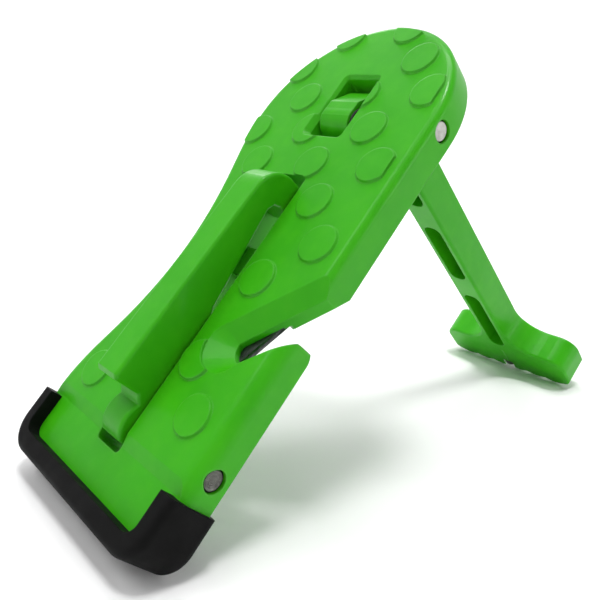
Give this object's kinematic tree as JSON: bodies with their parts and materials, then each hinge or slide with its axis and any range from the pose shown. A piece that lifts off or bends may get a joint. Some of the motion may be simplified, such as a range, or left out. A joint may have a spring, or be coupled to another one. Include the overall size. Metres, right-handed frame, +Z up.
{
  "type": "folding wheel chock step",
  "caption": "Die-cast foot plate with a fold-up latch hook, a hinged T-foot brace that props it as a wheel chock, a belt cutter notch and a rubber heel.",
  "frame": {"origin": "centre of the footprint, on the ground, with the step standing as a chock on its rubber heel and the brace's T foot", "axes": "+Z up, +X horizontal from the rubber heel towards the brace's foot, +Y to the left"},
  "size_m": [0.245, 0.0832, 0.1475],
  "materials": {
    "green_powder_coat": "satin green powder coat over die-cast aluminium",
    "rubber": "matte moulded rubber",
    "pin_steel": "turned steel, slightly dull",
    "blade_steel": "dark ground blade steel",
    "screw_steel": "zinc plated",
    "nylon": "black nylon"
  },
  "bodies": {
    "step_plate": {"foot_plate": "green_powder_coat", "heel_bumper": "rubber", "bumper_screws": "screw_steel", "glass_breaker_tip": "pin_steel", "latch_pin": "pin_steel", "brace_pin": "pin_steel", "belt_cutter_blade": "blade_steel", "blade_clamp": "screw_steel", "blade_screws": "screw_steel", "latch_washers": "nylon", "brace_washers": "nylon"},
    "latch": {"latch_hook": "green_powder_coat"},
    "brace": {"brace_leg": "green_powder_coat", "sole_stud": "pin_steel"}
  },
  "joints": [
    {"name": "latch_hinge", "type": "hinge", "parent": "step_plate", "child": "latch", "pos_m": [-0.09803, 0, 0.02512], "axis": [0, -1, 0], "range_deg": [0, 84]},
    {"name": "brace_hinge", "type": "hinge", "parent": "step_plate", "child": "brace", "pos_m": [-0.02238, 0, 0.11463], "axis": [0, 1, 0], "range_deg": [0, 87]}
  ]
}
